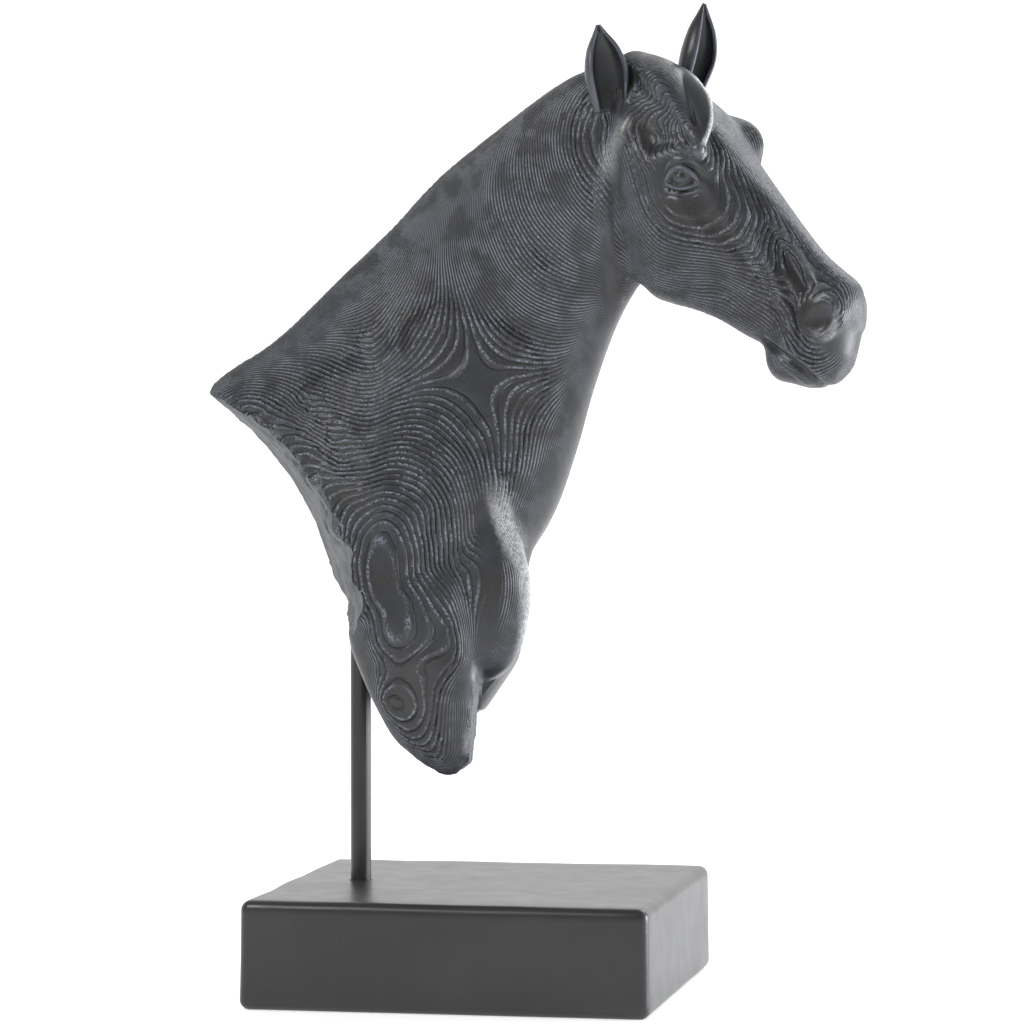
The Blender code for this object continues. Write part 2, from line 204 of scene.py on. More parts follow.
# An ear's half-width, depth, wall and bow, and its width from foot to tip: share, part of the width
EAR_HALF_WIDTH = 10.0
EAR_DEPTH = 8.0
EAR_WALL = 2.0
EAR_BOW = 2.5
EAR_SHAPE = ((0, 0.75), (0.2, 0.9), (0.45, 1), (0.7, 0.78), (0.9, 0.33), (1, 0.1))
# The head's axes as columns: down the face, across to the far side, up out of the forehead
TURN = Matrix.Rotation(HEAD_YAW, 3, "Z") @ Matrix.Rotation(HEAD_ROLL, 3, "X")
AXES = np.array(TURN @ Matrix.Rotation(HEAD_PITCH, 3, "Y"))
# Points around each rib
SIDES = 64
# Grids of the two skins, in millimetres
FINE_VOXEL = 1.1
COARSE_VOXEL = 2.8
# Longest edges in millimetres on the far side, the near side, the head and the breast, and how far an
# edge may be over
FAR_EDGE, NEAR_EDGE, HEAD_EDGE, BREAST_EDGE = 4.2, 3.3, 2.3, 2.1
EDGE_SLACK = 1.4


def smooth_rows(rows, count):
    """Rows of numbers resampled to count rows by a Catmull-Rom curve through them."""
    rows = np.asarray(rows, float)
    padded = np.vstack([2 * rows[0] - rows[1], rows, 2 * rows[-1] - rows[-2]])
    at = np.linspace(0, len(rows) - 1, count)
    span = np.minimum(at.astype(int), len(rows) - 2)
    t = (at - span)[:, None]
    p0, p1, p2, p3 = (padded[span + k] for k in range(4))
    return 0.5 * (
        2 * p1
        + (p2 - p0) * t
        + (2 * p0 - 5 * p1 + 4 * p2 - p3) * t**2
        + (3 * p1 - p0 - 3 * p2 + p3) * t**3
    )


def rib_ring(start, end, middle, half_width, widest_at, top_power, bottom_power):
    """Points around a rib between two points of a side view; the second coordinate is across."""
    around = np.linspace(0, 2 * math.pi, SIDES, endpoint=False)
    down = (1 - np.cos(around)) / 2
    skewed = down ** (math.log(0.5) / math.log(widest_at))
    power = top_power + (bottom_power - top_power) * down
    bulge = np.clip(4 * skewed * (1 - skewed), 0, 1) ** (power / 2)
    side = half_width * bulge * np.where(around < math.pi, 1, -1)
    flat = np.outer(1 - down, start) + np.outer(down, end)
    return np.column_stack([flat[:, 0], middle + side, flat[:, 1]])


def oval_rings(rows, count, sides):
    """Upright ovals through rows of a middle, a half-width and a half-height."""
    around = np.linspace(0, 2 * math.pi, sides, endpoint=False)
    return [
        np.column_stack([np.full(sides, x), width * np.cos(around) - side, z + height * np.sin(around)])
        for x, side, z, width, height in smooth_rows(rows, count)
    ]


def placed(name, data):
    """A new object in the scene."""
    made = bpy.data.objects.new(name, data)
    bpy.context.collection.objects.link(made)
    return made


def mesh_object(mesh, name="part"):
    """A new object made from a bmesh, which is freed."""
    data = bpy.data.meshes.new(name)
    mesh.to_mesh(data)
    mesh.free()
    return placed(name, data)


def tube(rings):
    """A closed mesh object skinned over rings of points."""
    mesh = bmesh.new()
    made = [[mesh.verts.new(point) for point in ring] for ring in rings]
    for first, second in zip(made, made[1:]):
        for k in range(len(first)):
            after = (k + 1) % len(first)
            mesh.faces.new((first[k], first[after], second[after], second[k]))
    mesh.faces.new(made[0])
    mesh.faces.new(made[-1])
    bmesh.ops.recalc_face_normals(mesh, faces=mesh.faces)
    return mesh_object(mesh)


def to_head(points):
    """Points of the bust in the head's frame."""
    return (points - POLL) @ AXES


def from_head(points):
    """Points of the head's frame in the bust's."""
    return np.asarray(points) @ AXES.T + POLL


def apply_modifiers(item):
    """Replaces an object's mesh by what its modifiers make of it."""
    graph = bpy.context.evaluated_depsgraph_get()
    made = bpy.data.meshes.new_from_object(item.evaluated_get(graph))
    old = item.data
    item.modifiers.clear()
    item.data = made
    bpy.data.meshes.remove(old)


def cut_or_join(item, other, operation):
    """Applies a Boolean with another object, which is removed."""
    step = item.modifiers.new(operation.lower(), "BOOLEAN")
    step.operation = operation
    step.solver = "EXACT"
    step.object = other
    apply_modifiers(item)
    bpy.data.objects.remove(other, do_unlink=True)


def read(items, name, kind, width=1):
    """A property of each item of a mesh as an array."""
    found = np.empty(len(items) * width, kind)
    items.foreach_get(name, found)
    return found.reshape(-1, width) if width > 1 else found


def points_and_triangles(item):
    """An object's vertices, and its triangles as vertex numbers."""
    item.data.calc_loop_triangles()
    faces = read(item.data.loop_triangles, "vertices", np.int32, 3)
    return read(item.data.vertices, "co", float, 3), faces


def edges_of(faces):
    """Each edge once, as sorted vertex pairs, and the three edges of each triangle."""
    pairs = np.sort(np.concatenate([faces[:, [0, 1]], faces[:, [1, 2]], faces[:, [2, 0]]]), axis=1)
    edges, back = np.unique(pairs, axis=0, return_inverse=True)
    return edges, back.reshape(3, -1).T


def at_ends(edges, count, first=None, second=None):
    """The sum at each point of what its edges bring it, or how many they are."""
    return np.bincount(edges[:, 0], first, count) + np.bincount(edges[:, 1], second, count)


def relaxed(points, edges, rounds, weight=0.5):
    """Points moved towards the mean of their neighbours."""
    a, b = edges.T
    count = at_ends(edges, len(points))[:, None]
    for _ in range(rounds):
        total = np.column_stack([at_ends(edges, len(points), part[b], part[a]) for part in points.T])
        points = points + np.reshape(weight, (-1, 1)) * (total / count - points)
    return points


def corners_of(points, faces):
    """The three corners of each triangle, and its normal, as long as twice its area."""
    p0, p1, p2 = (points[faces[:, k]] for k in range(3))
    return p0, p1, p2, np.cross(p1 - p0, p2 - p0)


def at_points(faces, values, count):
    """The sum at each point of what the triangles around it have."""
    return sum(np.bincount(faces[:, k], values, count) for k in range(3))


def vertex_normals(points, faces):
    """Unit normals at the points."""
    across = corners_of(points, faces)[3]
    total = np.column_stack([at_points(faces, part, len(points)) for part in across.T])
    return total / np.maximum(np.linalg.norm(total, axis=1, keepdims=True), 1e-12)


def falloff(points, centre, reach):
    """1 at the centre, smoothly down to 0 at the reach along each axis."""
    away = (((points - centre) / reach) ** 2).sum(axis=1)
    return np.maximum(1 - away, 0) ** 2


def model_surface(points, rows):
    """Pushes points in or out around each row's place, the same on both sides."""
    for row in rows:
        centre, reach, push = (np.array(row[k : k + 3], float) for k in (0, 3, 6))
        for side in (1, -1) if centre[1] else (1,):
            mirror = np.array([1, side, 1])
            points = points + falloff(points, centre * mirror, reach)[:, None] * push * mirror
    return points


def on_near_side(head):
    """Points of the head's frame, those of the far side mirrored to the near side."""
    return head * (1, 0, 1) - np.outer(np.abs(head[:, 1]), (0, 1, 0))


def ramp(low, high, value):
    """0 below low, 1 above high, smooth between."""
    t = np.clip((value - low) / (high - low), 0, 1)
    return t * t * (3 - 2 * t)


def noise_at(points, scale, seed=0):
    """Smooth noise from -1 to 1 at each point; scale is the size of its lumps."""
    shift = Vector((seed, seed * 1.7, seed * 0.3))
    return np.array([noise.noise(Vector(p) / scale + shift) for p in points])


def masses():
    """The neck, shoulders, head, forelock and eyes as one exact solid."""
    body = tube([rib_ring(row[:2], row[2:4], *row[4:]) for row in smooth_rows(NECK_RIBS, 72)])
    front, rear = np.array(UNDERSIDE_FRONT, float), np.array(UNDERSIDE_REAR, float)
    start, end = 2 * front - rear, 2 * rear - front
    corners = (start, end, end - (0, 200), start - (0, 200))
    wedge = tube([[(x, side, z) for x, z in corners] for side in (-60, 60)])
    cut_or_join(body, wedge, "DIFFERENCE")
    parts = [tube(oval_rings(WITHERS_SPUR, 12, 24))]
    for ribs in (BREAST_RIBS, NEAR_SHOULDER_RIBS, FAR_SHOULDER_RIBS):
        rings = [
            rib_ring((rear, z), (front, z), middle, half_thickness, 0.5, 0.7, 0.55)
            for z, rear, front, middle, half_thickness in smooth_rows(ribs, 40)
        ]
        parts.append(tube(rings))
    rings = [rib_ring(row[:2], row[2:4], 0, *row[4:]) for row in smooth_rows(HEAD_RIBS, 90)]
    parts.append(tube(map(from_head, rings)))
    parts.append(tube(map(from_head, oval_rings(FORELOCK, 30, 32))))
    for side in (1, -1):
        mesh = bmesh.new()
        at = Matrix.Translation(from_head(np.array(EYE) * (1, side, 1)))
        bmesh.ops.create_uvsphere(mesh, u_segments=32, v_segments=20, radius=EYE_RADIUS, matrix=at)
        parts.append(mesh_object(mesh))
    for part in parts:
        cut_or_join(body, part, "UNION")
    return body


def skin(item, voxel, rounds):
    """Points and triangles of an even skin over an object, relaxed."""
    copy = placed("skin", item.data.copy())
    step = copy.modifiers.new("skin", "REMESH")
    step.mode = "VOXEL"
    step.voxel_size = voxel
    apply_modifiers(copy)
    points, faces = points_and_triangles(copy)
    bpy.data.objects.remove(copy, do_unlink=True)
    return relaxed(points, edges_of(faces)[0], rounds), faces


def split_long_edges(points, faces, wanted):
    """Splits in the middle each edge that is well over the wanted length at its middle."""
    edges, face_edges = edges_of(faces)
    middle = (points[edges[:, 0]] + points[edges[:, 1]]) / 2
    length = np.linalg.norm(points[edges[:, 0]] - points[edges[:, 1]], axis=1)
    split = length > EDGE_SLACK * wanted(middle)
    number = np.full(len(edges), -1)
    number[split] = len(points) + np.arange(split.sum())
    points = np.vstack([points, middle[split]])
    out = []
    for (a, b, c), (e0, e1, e2) in zip(faces.tolist(), number[face_edges].tolist()):
        marks = (e0 >= 0) + (e1 >= 0) + (e2 >= 0)
        if marks == 0:
            out.append((a, b, c))
            continue
        while not (e0 >= 0 and (marks < 2 or e1 >= 0)):
            a, b, c, e0, e1, e2 = b, c, a, e1, e2, e0
        if marks == 1:
            out += [(a, e0, c), (e0, b, c)]
        elif marks == 2:
            out += [(a, e0, c), (e0, b, e1), (e0, e1, c)]
        else:
            out += [(a, e0, e2), (e0, b, e1), (e2, e1, c), (e0, e1, e2)]
    return points, np.array(out, np.int32)


def slice_by(points, faces, value, levels, wanted):
    """Cuts the wanted triangles along lines of equal value at the levels; returns points, triangles,
    the value at each point and the number of the face that each triangle comes from."""
    edges, face_edges = edges_of(faces)
    cut_edge = np.zeros(len(edges), bool)
    cut_edge[face_edges[wanted]] = True
    swap = value[edges[:, 0]] > value[edges[:, 1]]
    low, high = np.where(swap[:, None], edges[:, ::-1], edges).T
    first = np.searchsorted(levels, value[low], "right")
    last = np.searchsorted(levels, value[high], "left")
    count = np.where(cut_edge, np.maximum(last - first, 0), 0)
    owner = np.repeat(np.arange(len(edges)), count)
    before = np.cumsum(count) - count
    level = first[owner] + np.arange(len(owner)) - before[owner]
    share = (levels[level] - value[low[owner]]) / (value[high[owner]] - value[low[owner]])
    share = np.clip(share, 0.02, 0.98)[:, None]
    fresh = points[low[owner]] * (1 - share) + points[high[owner]] * share
    whole = count[face_edges].sum(axis=1) == 0
    out = faces[whole].tolist()
    source = np.where(whole)[0].tolist()
    starts = (len(points) + before).tolist()
    runs = [range(start, start + length) for start, length in zip(starts, count.tolist())]
    value_list, low_list = value.tolist(), low.tolist()
    hub_start, hubs = len(points) + len(fresh), []
    for number in np.where(~whole)[0].tolist():
        tri, own = faces[number].tolist(), face_edges[number].tolist()
        if wanted[number]:
            polygons = strips(tri, own, runs, value_list)
        else:
            outline = []
            for k in range(3):
                run = runs[own[k]]
                outline.append(tri[k])
                outline += run if low_list[own[k]] == tri[k] else reversed(run)
            hub = hub_start + len(hubs)
            hubs.append(tri)
            polygons = [(hub, b, c) for b, c in zip(outline, outline[1:] + outline[:1])]
        for polygon in polygons:
            out += [(polygon[0], b, c) for b, c in zip(polygon[1:], polygon[2:])]
            source += [number] * (len(polygon) - 2)
    hubs = np.array(hubs, int).reshape(-1, 3)
    points = np.vstack([points, fresh, points[hubs].mean(axis=1)])
    value = np.concatenate([value, levels[level], value[hubs].mean(axis=1)])
    return points, np.array(out, np.int32), value, np.array(source)


def strips(tri, own, runs, value):
    """The strips of one triangle between its level lines."""
    rank = sorted(range(3), key=lambda k: value[tri[k]])
    v0, v1, v2 = (tri[k] for k in rank)
    between = {frozenset((tri[k], tri[(k + 1) % 3])): own[k] for k in range(3)}
    long_run = runs[between[frozenset((v0, v2))]]
    lower = runs[between[frozenset((v0, v1))]]
    short_run = list(lower) + list(runs[between[frozenset((v1, v2))]])
    turn = len(lower)
    made, left, right = [], v0, v0
    for k, (one, other) in enumerate(zip(long_run, short_run)):
        corner = [v1] if k == turn else []
        made.append([left, one, other] + corner + ([right] if right != left else []))
        left, right = one, other
    corner = [v1] if turn == len(short_run) else []
    made.append([left, v2] + corner + ([right] if right != left else []))
    if rank in ([0, 1, 2], [1, 2, 0], [2, 0, 1]):
        made = [polygon[::-1] for polygon in made]
    return made


# The mouth, in the head's frame, and the bright ridge of the breast, in the bust's own places
MOUTH_LINE = (
    (128, -7, -48), (134, -11.5, -46.5), (141, -14.6, -44), (148, -16, -42),
    (155, -15, -41.2), (160, -12.5, -41.5), (163.5, -6, -42.5), (164.5, 4, -43),
)
BREAST_RIDGE = (
    (64, -28, 150), (68, -28, 138), (71, -27, 128), (75, -25, 116), (79, -22, 104),
    (80.5, -20, 92), (80, -19, 79), (78, -18, 62), (73, -16, 44),
)
# Folds: whether on both sides, half-width, push, then points along the fold; u, side, v on the head
HEAD_FOLDS = (
    # the groove beside the bridge of the nose
    (True, 4.2, -2.2, ((59, -25, 2), (68, -20, -1), (77, -16.5, -3), (89, -14, -4), (101, -13.5, -7),
        (115, -13, -11), (127, -14.5, -13.5), (136, -16.5, -16))),
    (True, 1.6, -0.8, ((98, -13.3, -6.5), (110, -13, -9.5), (120, -14, -12), (136, -16.5, -16))),
    # the bands from the eye and the nostril down to the corner of the mouth
    (True, 2.4, 1.2, ((66, -24, -10), (80, -22.5, -16), (92, -19, -18), (108, -16.5, -20))),
    (True, 3.4, 1.2, ((92, -18, -12), (107, -17, -17.5), (120, -16.5, -22.5), (133, -16.5, -28),
        (146, -18, -34))),
    (True, 1.5, -1.1, ((108, -16, -13.5), (124, -16, -20), (136, -17, -26), (148, -17, -32))),
    # the mouth and the lips
    (True, 1.7, -2.1, MOUTH_LINE),
    (True, 2.4, 1.1, ((136, -14, -49), (147, -15.5, -47), (155, -14, -46), (163, -9, -46.5))),
    (True, 2.4, 1, ((136, -15, -42), (148, -16.5, -38.5), (156, -15, -38), (164, -9.5, -39))),
    # the brow over the eye
    (True, 3.2, 1.4, ((38, -27, -22), (45, -27.5, -12), (52, -28.5, -5), (59, -28, -1))),
    # the rounded border of the cheek
    (True, 4, 2.9, ((16, -22, -17), (21, -23, -24), (22, -21, -34), (32, -23, -47), (42, -23, -57),
        (53, -20, -66), (64, -17, -70), (78, -19, -65))),
    # the ridge of the forelock's left strand
    (False, 1.2, 1.1, ((18, -18, 6), (26.5, -21, 3), (36, -24.5, 2), (46, -28, 1), (57, -29.5, 0))),
)
# Wider pushes on the head: middle u, side, v, reach along each, push; the same on both sides
HEAD_SWELLS = (
    (32, 25, -14, 15, 14, 9, -2.8),
    (47, 27, -8, 9, 12, 5, -1.2),
)
BREAST_FOLDS = ((True, 5.5, 2.2, BREAST_RIDGE),)
# The far half of the breast lies further back: middle, reach, push
FAR_BREAST = ((80, 13, 84), (18, 15, 48), -5.5)
# Places on the head with a finer mesh: middle u, side, v; radius; longest edge
FINE_PLACES = (
    ((58.5, -29, -15), 12, 0.62),
    ((144, -18, -19), 14, 0.95),
    ((149, -13, -43), 17, 1.1),
    ((118, -13, -11), 19, 1.4),
    ((40, -18, 6), 22, 1.3),
)
# Painted highlights along the bright edges: on the head or not, half-width, strength, then the points of
# each line
PAINTED_HIGHLIGHT_LINES = (
    (False, 5, 0.9, ((67, -29, 138), (74, -26, 115), (80, -21, 96), (80.5, -20, 82), (79, -18, 66),
        (75, -16, 50))),
    (False, 2, 0.6, ((57, -36, 8), (60, -37, 24), (61, -37, 40))),
    (True, 4, 0.35, ((16, -22, -17), (21, -23, -24), (22, -21, -34), (32, -23, -47))),
    (True, 2, 1, ((14, 0, 11), (22.5, -3.5, 13.5), (30.5, -6.5, 14.5), (37, -10, 14.3),
        (43.5, -14.5, 12.8), (49, -19.8, 10.4), (53.7, -25, 6.8), (56.5, -28.5, 2.5), (58, -30, 0))),
    (True, 2.2, 0.4, ((146, -20, -8), (152, -18.5, -12), (154.5, -17, -19), (152.5, -17, -26))),
)
# The slit of the lids: middle u, v, direction along it, half-length, then the rise of the upper and
# the lower arc at the middle and how much each bends back by the corners
SLIT = (58.5, -16.2, (0.72, 0.69), 6.6)
UPPER_ARC = (3.8, 5.4)
LOWER_ARC = (-3.7, -2)
# The nostril: middle u, v, radius, direction of its raised rim
NOSTRIL = (144, -19, 8.6, (0.8, 0.6))
# Lines that the contour lines keep away from
FORELOCK_LOBE = (
    (13, -1, 9), (22, -6, 10), (30, -11, 9), (36, -14, 8), (42, -18, 7), (48, -22, 5), (56, -28, 2),
)
BREAST_FLAT = ((65, -31, 122), (68, -31, 104), (69, -32, 84), (67, -33, 62))

# Contour lines are level cuts through the bust. Thickness of one layer in millimetres: where the bust
# stands out further than a limit, nearer in than that limit, and on the face
LAYER = 0.64
FINE_LAYER = (0.42, 45)
FACE_LAYER = 1.35
# Directions that the layers face on the body and on the head
VIEW = np.array((0.187, -0.982, 0.028))
HEAD_SIDE = np.array((-0.235, -0.97, 0.05))
HEAD_SIDE /= np.linalg.norm(HEAD_SIDE)
# Plateaus on the shoulder and the face: what stands out over a limit counts for a share
PLATEAU = (48.2, 0.35)
FACE_PLATEAU = (10.5, 0.55)
# The lean of the layers on the face, its hill (middle u, v; reach u, v; rise) and z and lean above it
FACE_LEAN = 0.32
FACE_HILL = ((76, -24), (50, 25), 5)
FOREHEAD = (296, 0.5)
# The lean on the neck along x and z, about a middle, and how far the layers sink on the chest
NECK_LEAN = (-0.14, 0.12)
NECK_MIDDLE = (12, 190)
CHEST_SINK = 3.5
# behind the neck: x where it starts, the lean along x and along z
REAR_LEAN = (16, 0.5, 0.06)
# the near shoulder: x that the low lean turns about, the lean, how far it sinks, the rise at the tip
SHOULDER_LEAN = (60, -0.3, 5, 0.12)
# ripples that the lines cross: half-width, rise in millimetres, then points x, z
RIPPLES = (
    (3.5, -1.4, ((-28, 175), (-14, 164), (-4, 152), (5, 138))),
    (9, -1, ((40, 125), (40, 95), (41, 65), (42, 45))),
)
# The place on the cheek where the face's layers meet the neck's
CHEEK = np.array((128.0, -45.0, 255.0))
# Where the groove and the crest of a terrace lie in a layer, the share between them, and its depth
GROOVE_AT = -0.1
CREST_AT = 0.18
RISING_SHARE = 0.28
TERRACE_DEPTH = 0.30
# Only lines further apart than this are cut as terraces, in millimetres
CUT_SPACING = 1.45
# What the resin reads at each point
MARKS = ("ring", "gap", "lines", "hollow", "bend", "face", "worn")
# Numbers of the bust's three kinds of surface
BODY, EAR, CUT = 0, 1, 2
# How far from the box's ends the bust starts to be pressed in, in metres
END_GUARD = 0.004


def fold_places(points, line):
    """How far each point is from a chain of straight pieces, and its share of the way along it."""
    line = np.asarray(line, float)
    nearest, along = np.full(len(points), 1e9), np.zeros(len(points))
    for number, (start, end) in enumerate(zip(line, line[1:])):
        step = end - start
        share = np.clip((points - start) @ step / (step @ step), 0, 1)
        away = np.linalg.norm(points - start - share[:, None] * step, axis=1)
        closer = away < nearest
        nearest = np.where(closer, away, nearest)
        along = np.where(closer, (number + share) / (len(line) - 1), along)
    return nearest, along


def fold_height(points, width, push, line):
    """The rise of a rounded fold that fades out at both ends of its line."""
    away, along = fold_places(points, line)
    ends = ramp(0, 0.16, along) * ramp(1, 0.86, along)
    return push * ends * np.clip(1 - (away / (1.6 * width)) ** 2, 0, None) ** 2


def on_sides(both, line):
    """A line, and its mirror image where it lies on both sides."""
    return [np.array(line) * (1, side, 1) for side in ((1, -1) if both else (1,))]


def add_folds(height, points, folds):
    """Adds the rise of each fold to a height."""
    for both, width, push, line in folds:
        for place in on_sides(both, line):
            height += fold_height(points, width, push, place)
    return height


def bell(value, middle, width):
    """1 at the middle, falling to nothing over a few widths."""
    return np.exp(-(((value - middle) / width) ** 2))


def lid_places(head):
    """Along the slit of the lids, and how far over the upper arc and under the lower one."""
    middle_u, middle_v, (along_u, along_v), half = SLIT
    u, v = head[:, 0] - middle_u, head[:, 2] - middle_v
    along = u * along_u + v * along_v
    up = v * along_u - u * along_v
    found = [along, up]
    for (rise, bend), sign in ((UPPER_ARC, 1), (LOWER_ARC, -1)):
        arc = rise - bend * (along / half) ** 2
        found.append(sign * (up - arc) / np.hypot(1, 2 * bend * along / half**2))
    return found


def eye_relief(head):
    """The sunk ball, the two lids and the creases around them."""
    along, up, over, under = lid_places(head)
    ends = 1 - ramp(5.5, 9.5, np.abs(along))
    above = ramp(-0.4, 0.4, over - under)
    side = ramp(18, 22, np.abs(head[:, 1]))
    ball = np.exp(-(along**2 + up**2) / 22)
    relief = (1.6 * ball - 1.7) * ramp(0.5, -0.8, np.maximum(over, under))
    relief += above * ends * 0.9 * bell(over, 1.1, 0.9)
    relief += (1 - above) * ends * 0.7 * bell(under, 1.0, 0.8)
    relief -= above * ends * (0.9 * bell(over, 2.6, 0.7) - 0.6 * bell(over, 4.2, 1.1))
    relief -= (1 - above) * ends * (0.7 * bell(under, 2.4, 0.6) - 0.4 * bell(under, 3.4, 0.6))
    relief -= (1 - above) * ends * 0.6 * bell(under, 4.6, 0.6)
    return relief * side


def nostril_places(head):
    """Distance from the nostril's middle in radii, and how far round towards its raised rim."""
    u, v = head[:, 0] - NOSTRIL[0], head[:, 2] - NOSTRIL[1]
    away = np.hypot(u, v) / NOSTRIL[2]
    toward = (u * NOSTRIL[3][0] + v * NOSTRIL[3][1]) / NOSTRIL[2] / np.hypot(away, 0.45)
    return away, toward


def relief_at(points):
    """How far all the finer forms stand out of the modelled surface."""
    head = to_head(points)
    away, toward = nostril_places(head)
    front = ramp(-0.25, 0.6, toward)
    inside = ramp(1.10, 0.50 + 0.12 * front, away)
    nostril = 1.4 * bell(away, 1.20, 0.20) * front - (0.8 + 0.5 * front) * inside
    nostril *= ramp(8, 11, np.abs(head[:, 1]))
    on_head = add_folds(eye_relief(head) + nostril, head, HEAD_FOLDS)
    for row in HEAD_SWELLS:
        for place in on_sides(True, row[:3]):
            on_head += row[6] * falloff(head, place, row[3:6])
    middle, reach, push = FAR_BREAST
    on_body = add_folds(push * falloff(points, middle, reach), points, BREAST_FOLDS)
    broken_tip = ramp(16, 5, points[:, 2]) * ramp(-12, -18, points[:, 1])
    on_body += broken_tip * (1.3 * noise_at(points, 6, 4.0) + 0.6 * noise_at(points, 2.5, 8.0))
    return on_head + on_body


def ring_value(points):
    """How many layers each point stands out, with some waver; whole numbers are contour lines."""
    head = to_head(points)
    share = face_share(points)
    body = points @ VIEW + layer_shift(points)
    low = ramp(165, 140, points[:, 2])
    body -= low * (1 - PLATEAU[1]) * np.maximum(body - PLATEAU[0], 0)
    body = even_layers(body)
    face = (points - CHEEK) @ HEAD_SIDE + (points - CHEEK) @ AXES[:, 2] * FACE_LEAN
    middle, reach, rise = FACE_HILL
    face += rise * falloff(head[:, [0, 2]], middle, reach)
    below = ramp(288, 272, points[:, 2])
    face -= below * (1 - FACE_PLATEAU[1]) * np.maximum(face - FACE_PLATEAU[0], 0)
    face = (face - FOREHEAD[1] * np.maximum(points[:, 2] - FOREHEAD[0], 0)) / FACE_LAYER
    face += even_layers(CHEEK @ VIEW + layer_shift(CHEEK[None]))
    value = body * (1 - share) + face * share
    value += 0.6 * noise_at(points, 20, 3.1) - 0.2
    value += 0.22 * noise_at(points, 6.5, 9.4)
    return value


def even_layers(height):
    """Layers for how far a place stands out in millimetres: thin ones up to a limit, then thicker."""
    thin, limit = FINE_LAYER
    return np.minimum(height, limit) / thin + np.maximum(height - limit, 0) / LAYER


def face_share(points):
    """0 on the neck and body, 1 on the head, in between along the border of the cheek."""
    head = to_head(points)
    share = ramp(-3, 9, head[:, 0] + 0.75 * head[:, 2] + 1.25)
    return share * ramp(160, 172, points[:, 2])


def layer_shift(points):
    """How far the layers are raised or sunk from plain slices, in millimetres."""
    x, z = points[:, 0], points[:, 2]
    lean = (x - NECK_MIDDLE[0]) * NECK_LEAN[0] * ramp(110, 225, z)
    lean += (z - NECK_MIDDLE[1]) * NECK_LEAN[1]
    high = ramp(95, 175, z)
    shift = np.clip(lean, -13, 13) * high - CHEST_SINK * (1 - high)
    behind = np.maximum(REAR_LEAN[0] - x, 0)
    shift += REAR_LEAN[1] * behind**2 / (behind + 20) * ramp(245, 190, z) * ramp(90, 130, z)
    shift += REAR_LEAN[2] * (z - 175) * ramp(20, -30, x)
    low = ramp(55, 30, z)
    shift += low * ((x - SHOULDER_LEAN[0]) * SHOULDER_LEAN[1] - SHOULDER_LEAN[2])
    shift += SHOULDER_LEAN[3] * np.maximum(40 - z, 0)
    for width, push, line in RIPPLES:
        shift += fold_height(points[:, [0, 2]], width, push, line)
    return shift


def line_strength(points):
    """1 where contour lines show, 0 on the eye, in the nostril and on the forelock's lobe."""
    head = to_head(points)
    along, up = lid_places(head)[:2]
    side = ramp(12, 18, np.abs(head[:, 1]))
    strength = 1 - side * ramp(18, 10.5, np.hypot(along, up * 1.15))
    nostril = ramp(1.12, 0.95, nostril_places(head)[0]) * ramp(7, 10, np.abs(head[:, 1]))
    strength *= 1 - nostril
    strength *= ramp(5.0, 7.5, fold_places(head, FORELOCK_LOBE)[0])
    strength *= ramp(2.0, 4.5, fold_places(on_near_side(head), MOUTH_LINE)[0])
    strength *= ramp(4, 8, fold_places(points, BREAST_FLAT)[0])
    tip = np.hypot(head[:, 0] - 158, head[:, 2] + 22) / 7
    strength *= ramp(0.7, 1.3, tip)
    share = face_share(points)
    return strength * (1 - 4 * share * (1 - share))


def painted_shade_and_pupil_share(points):
    """How much painted shade darkens the nostril, the mouth and the deep grooves of the head, and how dark
    the pupil is.
    """
    head = to_head(points)
    along, up, over, under = lid_places(head)
    opening = ramp(0.4, -0.5, np.maximum(over, under)) * ramp(18, 22, np.abs(head[:, 1]))
    dark = 0.8 * ramp(3.9, 2.4, np.hypot(along, up + 0.6)) * opening
    away = nostril_places(head)[0]
    dark = np.maximum(dark, 0.25 * ramp(1.05, 0.7, away) * ramp(7, 10, np.abs(head[:, 1])))
    for both, width, push, line in HEAD_FOLDS:
        if push <= -1.2:
            for place in on_sides(both, line):
                dark = np.maximum(dark, fold_height(head, 0.8 * width, 0.75, place))
    return dark


def painted_highlight_share(points):
    """How strongly the painted highlight lightens each point along the bright edges."""
    head = to_head(points)
    pale = np.zeros(len(points))
    for on_head, width, strength, line in PAINTED_HIGHLIGHT_LINES:
        away, along = fold_places(head if on_head else points, line)
        ends = ramp(0, 0.2, along) * ramp(1, 0.8, along)
        pale = np.maximum(pale, strength * ends * ramp(1.3 * width, 0.5 * width, away))
    return pale


def bend_at(points, faces, normals):
    """How strongly the surface bends at each point, per millimetre: over 0 on edges, under in hollows."""
    edges = edges_of(faces)[0]
    length = ((points[edges[:, 0]] - points[edges[:, 1]]) ** 2).sum(axis=1)
    count, total = at_ends(edges, len(points)), at_ends(edges, len(points), length, length)
    step = ((relaxed(points, edges, 1, 1.0) - points) * normals).sum(axis=1)
    bend = np.clip(-2 * step * count / np.maximum(total, 0.05), -1, 1)
    return relaxed(bend[:, None], edges, 3)[:, 0]


def wanted_length(middle):
    """How long the skin's edges may be at a place."""
    head = to_head(middle)
    length = np.where(middle[:, 1] > 12, FAR_EDGE, NEAR_EDGE)
    inside = (head[:, 0] + 0.75 * head[:, 2] > -6) & (middle[:, 2] > 165)
    length[inside] = HEAD_EDGE
    for centre, radius, fine in FINE_PLACES:
        close = np.linalg.norm(on_near_side(head) - centre, axis=1) < radius
        length[close] = np.minimum(length[close], fine)
    breast = fold_places(middle, BREAST_RIDGE)[0] < 13
    length[breast] = np.minimum(length[breast], BREAST_EDGE)
    return length


def plain_object(name, points, faces, kinds):
    """A mesh object with the bust's material slots, and which of them each triangle takes."""
    mesh = bpy.data.meshes.new(name)
    mesh.from_pydata(points.tolist(), [], faces.tolist())
    made = placed(name, mesh)
    give_slots(made, kinds)
    return made


